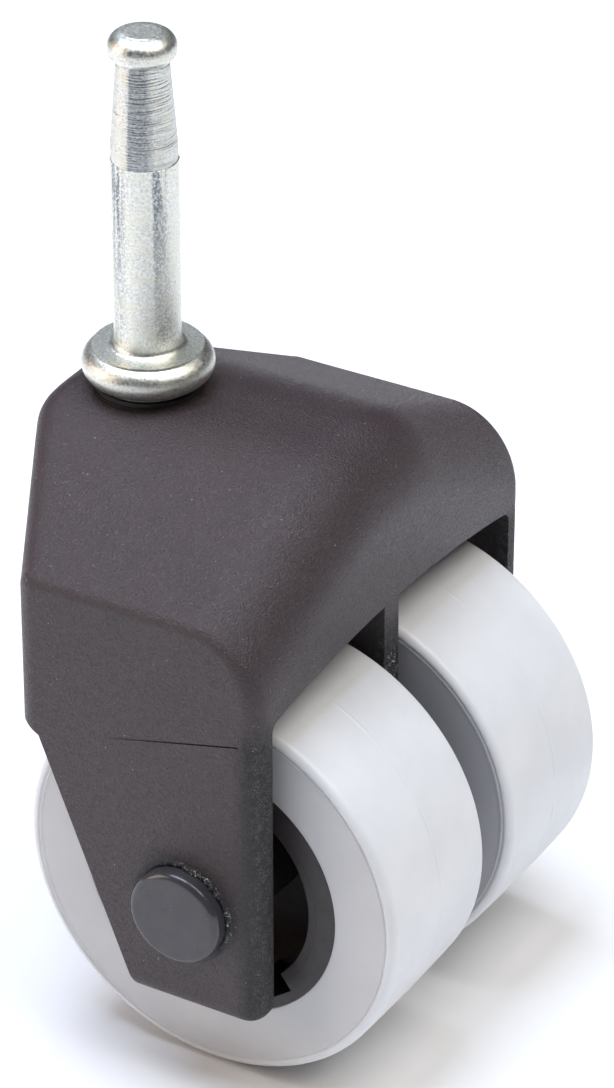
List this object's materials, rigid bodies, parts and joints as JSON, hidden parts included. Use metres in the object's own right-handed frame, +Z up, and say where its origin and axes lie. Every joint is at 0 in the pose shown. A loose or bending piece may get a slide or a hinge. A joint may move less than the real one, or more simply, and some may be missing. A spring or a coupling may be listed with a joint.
{
  "type": "twin-wheel stem caster",
  "caption": "Swivelling twin-wheel chair caster with soft treads, a moulded hood and a grip-neck stem with a seating collar.",
  "frame": {"origin": "on the stem's axis, in the collar's flat top face, which seats against the chair", "axes": "+Z up the stem, +X the trail from the stem towards the wheels, +Y along the axle"},
  "size_m": [0.0582, 0.0658, 0.1188],
  "materials": {
    "zinc_steel": "bright zinc plate over turned steel",
    "spring_steel": "oiled spring steel",
    "axle_steel": "plain drawn steel",
    "bearing_plastic": "smooth self-lubricating plastic",
    "hood_plastic": "fine-grained moulded black nylon",
    "cap_plastic": "smooth moulded black nylon",
    "core_plastic": "smooth moulded black nylon",
    "tread_rubber": "pale grey thermoplastic rubber, satin"
  },
  "bodies": {
    "stem": {"stem": "zinc_steel", "spindle_retaining_ring": "spring_steel"},
    "hood": {"hood": "hood_plastic", "spindle_bush": "bearing_plastic", "thrust_washer": "bearing_plastic", "axle": "axle_steel", "axle_cap_left": "cap_plastic", "axle_cap_right": "cap_plastic", "axle_retainer_left": "spring_steel", "axle_retainer_right": "spring_steel", "leg_washer_left": "bearing_plastic", "leg_washer_right": "bearing_plastic", "web_washer_left": "bearing_plastic", "web_washer_right": "bearing_plastic"},
    "wheel_left": {"tyre_left": "tread_rubber", "wheel_core_left": "core_plastic", "hub_cover_left": "core_plastic", "wheel_bush_left": "bearing_plastic"},
    "wheel_right": {"tyre_right": "tread_rubber", "wheel_core_right": "core_plastic", "hub_cover_right": "core_plastic", "wheel_bush_right": "bearing_plastic"}
  },
  "joints": [
    {"name": "swivel", "type": "hinge", "parent": "stem", "child": "hood", "pos_m": [0, 0, 0], "axis": [0, 0, 1], "continuous": true},
    {"name": "wheel_left_spin", "type": "hinge", "parent": "hood", "child": "wheel_left", "pos_m": [0.02278, 0, -0.05396], "axis": [0, 1, 0], "continuous": true},
    {"name": "wheel_right_spin", "type": "hinge", "parent": "hood", "child": "wheel_right", "pos_m": [0.02278, 0, -0.05396], "axis": [0, 1, 0], "continuous": true}
  ]
}
